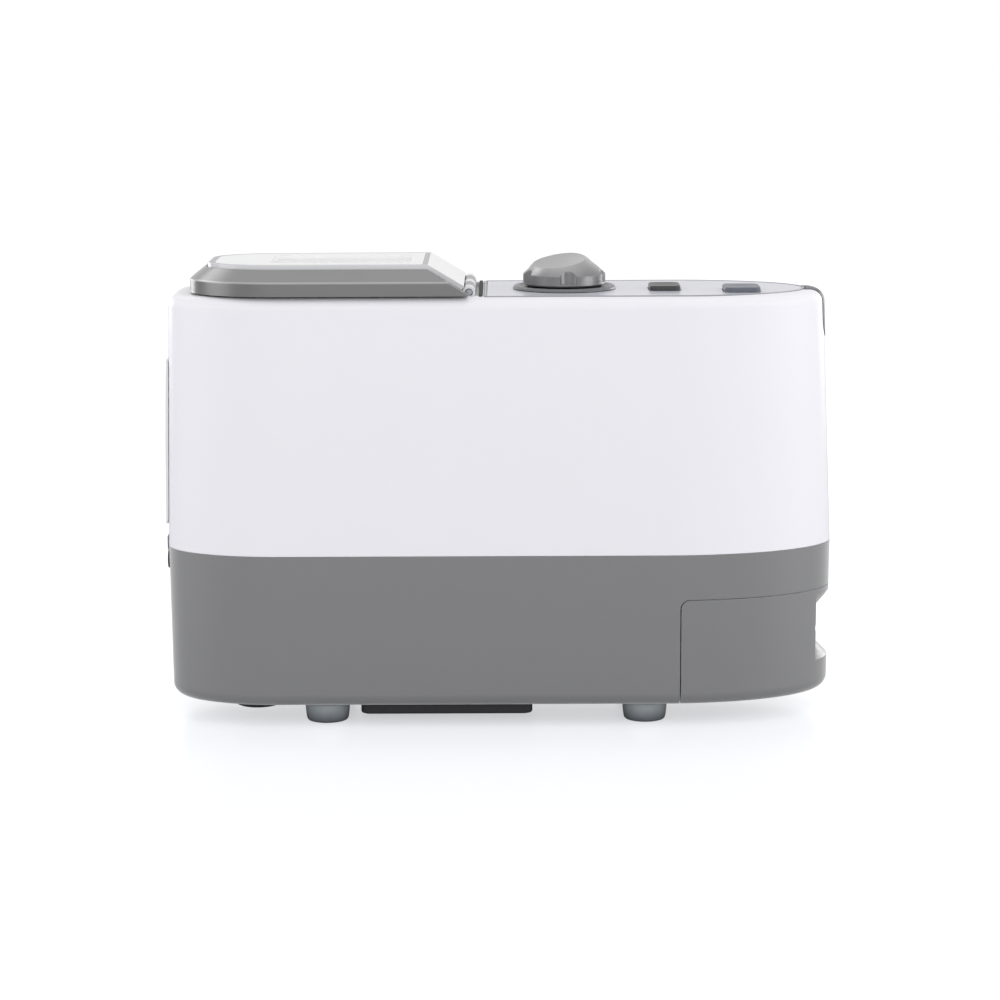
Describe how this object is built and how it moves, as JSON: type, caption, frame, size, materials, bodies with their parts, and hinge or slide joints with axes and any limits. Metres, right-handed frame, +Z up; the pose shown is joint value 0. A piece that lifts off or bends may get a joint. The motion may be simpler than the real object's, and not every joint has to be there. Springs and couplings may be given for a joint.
{
  "type": "compression therapy pump",
  "caption": "Desk-top compression therapy pump: tall oblong casing, tilting display, pressure knob, two keys, rubber feet and a four-way hose socket in a cove at the nose.",
  "frame": {"origin": "centre of the footprint, on the surface that the feet stand on", "axes": "+X towards the hose end, +Y to the far side of the picture, +Z up"},
  "size_m": [0.3112, 0.09, 0.2139],
  "materials": {
    "white_abs": "satin moulded",
    "grey_abs": "fine moulded grain",
    "lid_grey": "satin moulded",
    "light_grey_abs": "fine moulded grain",
    "trim_grey": "satin moulded",
    "panel_film": "satin film",
    "window_acrylic": "polished",
    "knob_grey": "satin metallic paint",
    "key_slate": "matt moulded",
    "black_plastic": "matt moulded",
    "socket_plastic": "matt moulded",
    "foot_rubber": "smooth",
    "diaphragm_rubber": "smooth",
    "tube_vinyl": "smooth",
    "zinc_steel": "zinc plated",
    "laminations": "varnished",
    "copper_winding": "enamelled wire",
    "cast_aluminium": "die cast",
    "board": "solder mask",
    "display_glass": "polished"
  },
  "bodies": {
    "casing": {"upper_housing": "white_abs", "lower_housing": "grey_abs", "front_port_cover": "grey_abs", "hose_socket": "socket_plastic", "foot_rear_left": "foot_rubber", "foot_rear_right": "foot_rubber", "foot_front_left": "foot_rubber", "foot_front_right": "foot_rubber", "case_screw_1": "zinc_steel", "case_screw_2": "zinc_steel", "case_screw_3": "zinc_steel", "case_screw_4": "zinc_steel", "pump_bottom_cover": "black_plastic", "intake_filter_cap": "black_plastic", "filter_housing": "socket_plastic", "rear_vent_cover": "light_grey_abs", "rear_catch": "light_grey_abs", "power_inlet": "black_plastic", "inlet_pin_near": "zinc_steel", "inlet_pin_far": "zinc_steel", "control_panel": "panel_film", "panel_trim": "trim_grey", "front_trim_strip": "trim_grey", "knob_escutcheon": "trim_grey", "knob_encoder": "socket_plastic", "key_board": "board", "hinge_bracket": "light_grey_abs", "hinge_pin": "zinc_steel", "pump_frame": "zinc_steel", "pump_head_rear": "cast_aluminium", "pump_head_front": "cast_aluminium", "diaphragm_rear": "diaphragm_rubber", "diaphragm_front": "diaphragm_rubber", "stator_core_near": "laminations", "stator_core_far": "laminations", "stator_coil_near": "copper_winding", "stator_coil_far": "copper_winding", "pump_mount_rear": "diaphragm_rubber", "pump_mount_front": "diaphragm_rubber", "distributor_motor": "zinc_steel", "distributor_body": "socket_plastic", "air_tube_1": "tube_vinyl", "air_tube_2": "tube_vinyl", "air_tube_3": "tube_vinyl", "air_tube_4": "tube_vinyl", "supply_tube": "tube_vinyl", "intake_tube": "tube_vinyl", "transformer": "laminations", "chassis_plate": "zinc_steel", "main_board": "board"},
    "display": {"display_bezel": "lid_grey", "display_window": "window_acrylic", "lcd_module": "display_glass", "display_back_cover": "lid_grey"},
    "knob": {"pressure_knob": "knob_grey", "knob_spindle": "zinc_steel"},
    "start_key": {"start_button": "key_slate"},
    "mode_key": {"mode_button": "key_slate"},
    "armature": {"pump_armature": "laminations"},
    "rotor": {"distributor_rotor": "tube_vinyl"}
  },
  "joints": [
    {"name": "display_tilt", "type": "hinge", "parent": "casing", "child": "display", "pos_m": [-0.0134, 0, 0.1994], "axis": [0, 1, 0], "range_deg": [0, 60]},
    {"name": "knob_turn", "type": "hinge", "parent": "casing", "child": "knob", "pos_m": [0.0306, 0, 0.201], "axis": [0, 0, 1], "range_deg": [-270, 0]},
    {"name": "start_press", "type": "slide", "parent": "casing", "child": "start_key", "axis": [0, 0, 1], "range_m": [-0.001, 0], "stiffness_N_per_m": 1500},
    {"name": "mode_press", "type": "slide", "parent": "casing", "child": "mode_key", "axis": [0, 0, 1], "range_m": [-0.001, 0], "stiffness_N_per_m": 1500},
    {"name": "armature_stroke", "type": "slide", "parent": "casing", "child": "armature", "axis": [1, 0, 0], "range_m": [-0.0015, 0.0015], "stiffness_N_per_m": 6000},
    {"name": "rotor_turn", "type": "hinge", "parent": "casing", "child": "rotor", "pos_m": [0.0866, 0, 0.041], "axis": [0, 0, 1], "continuous": true}
  ]
}
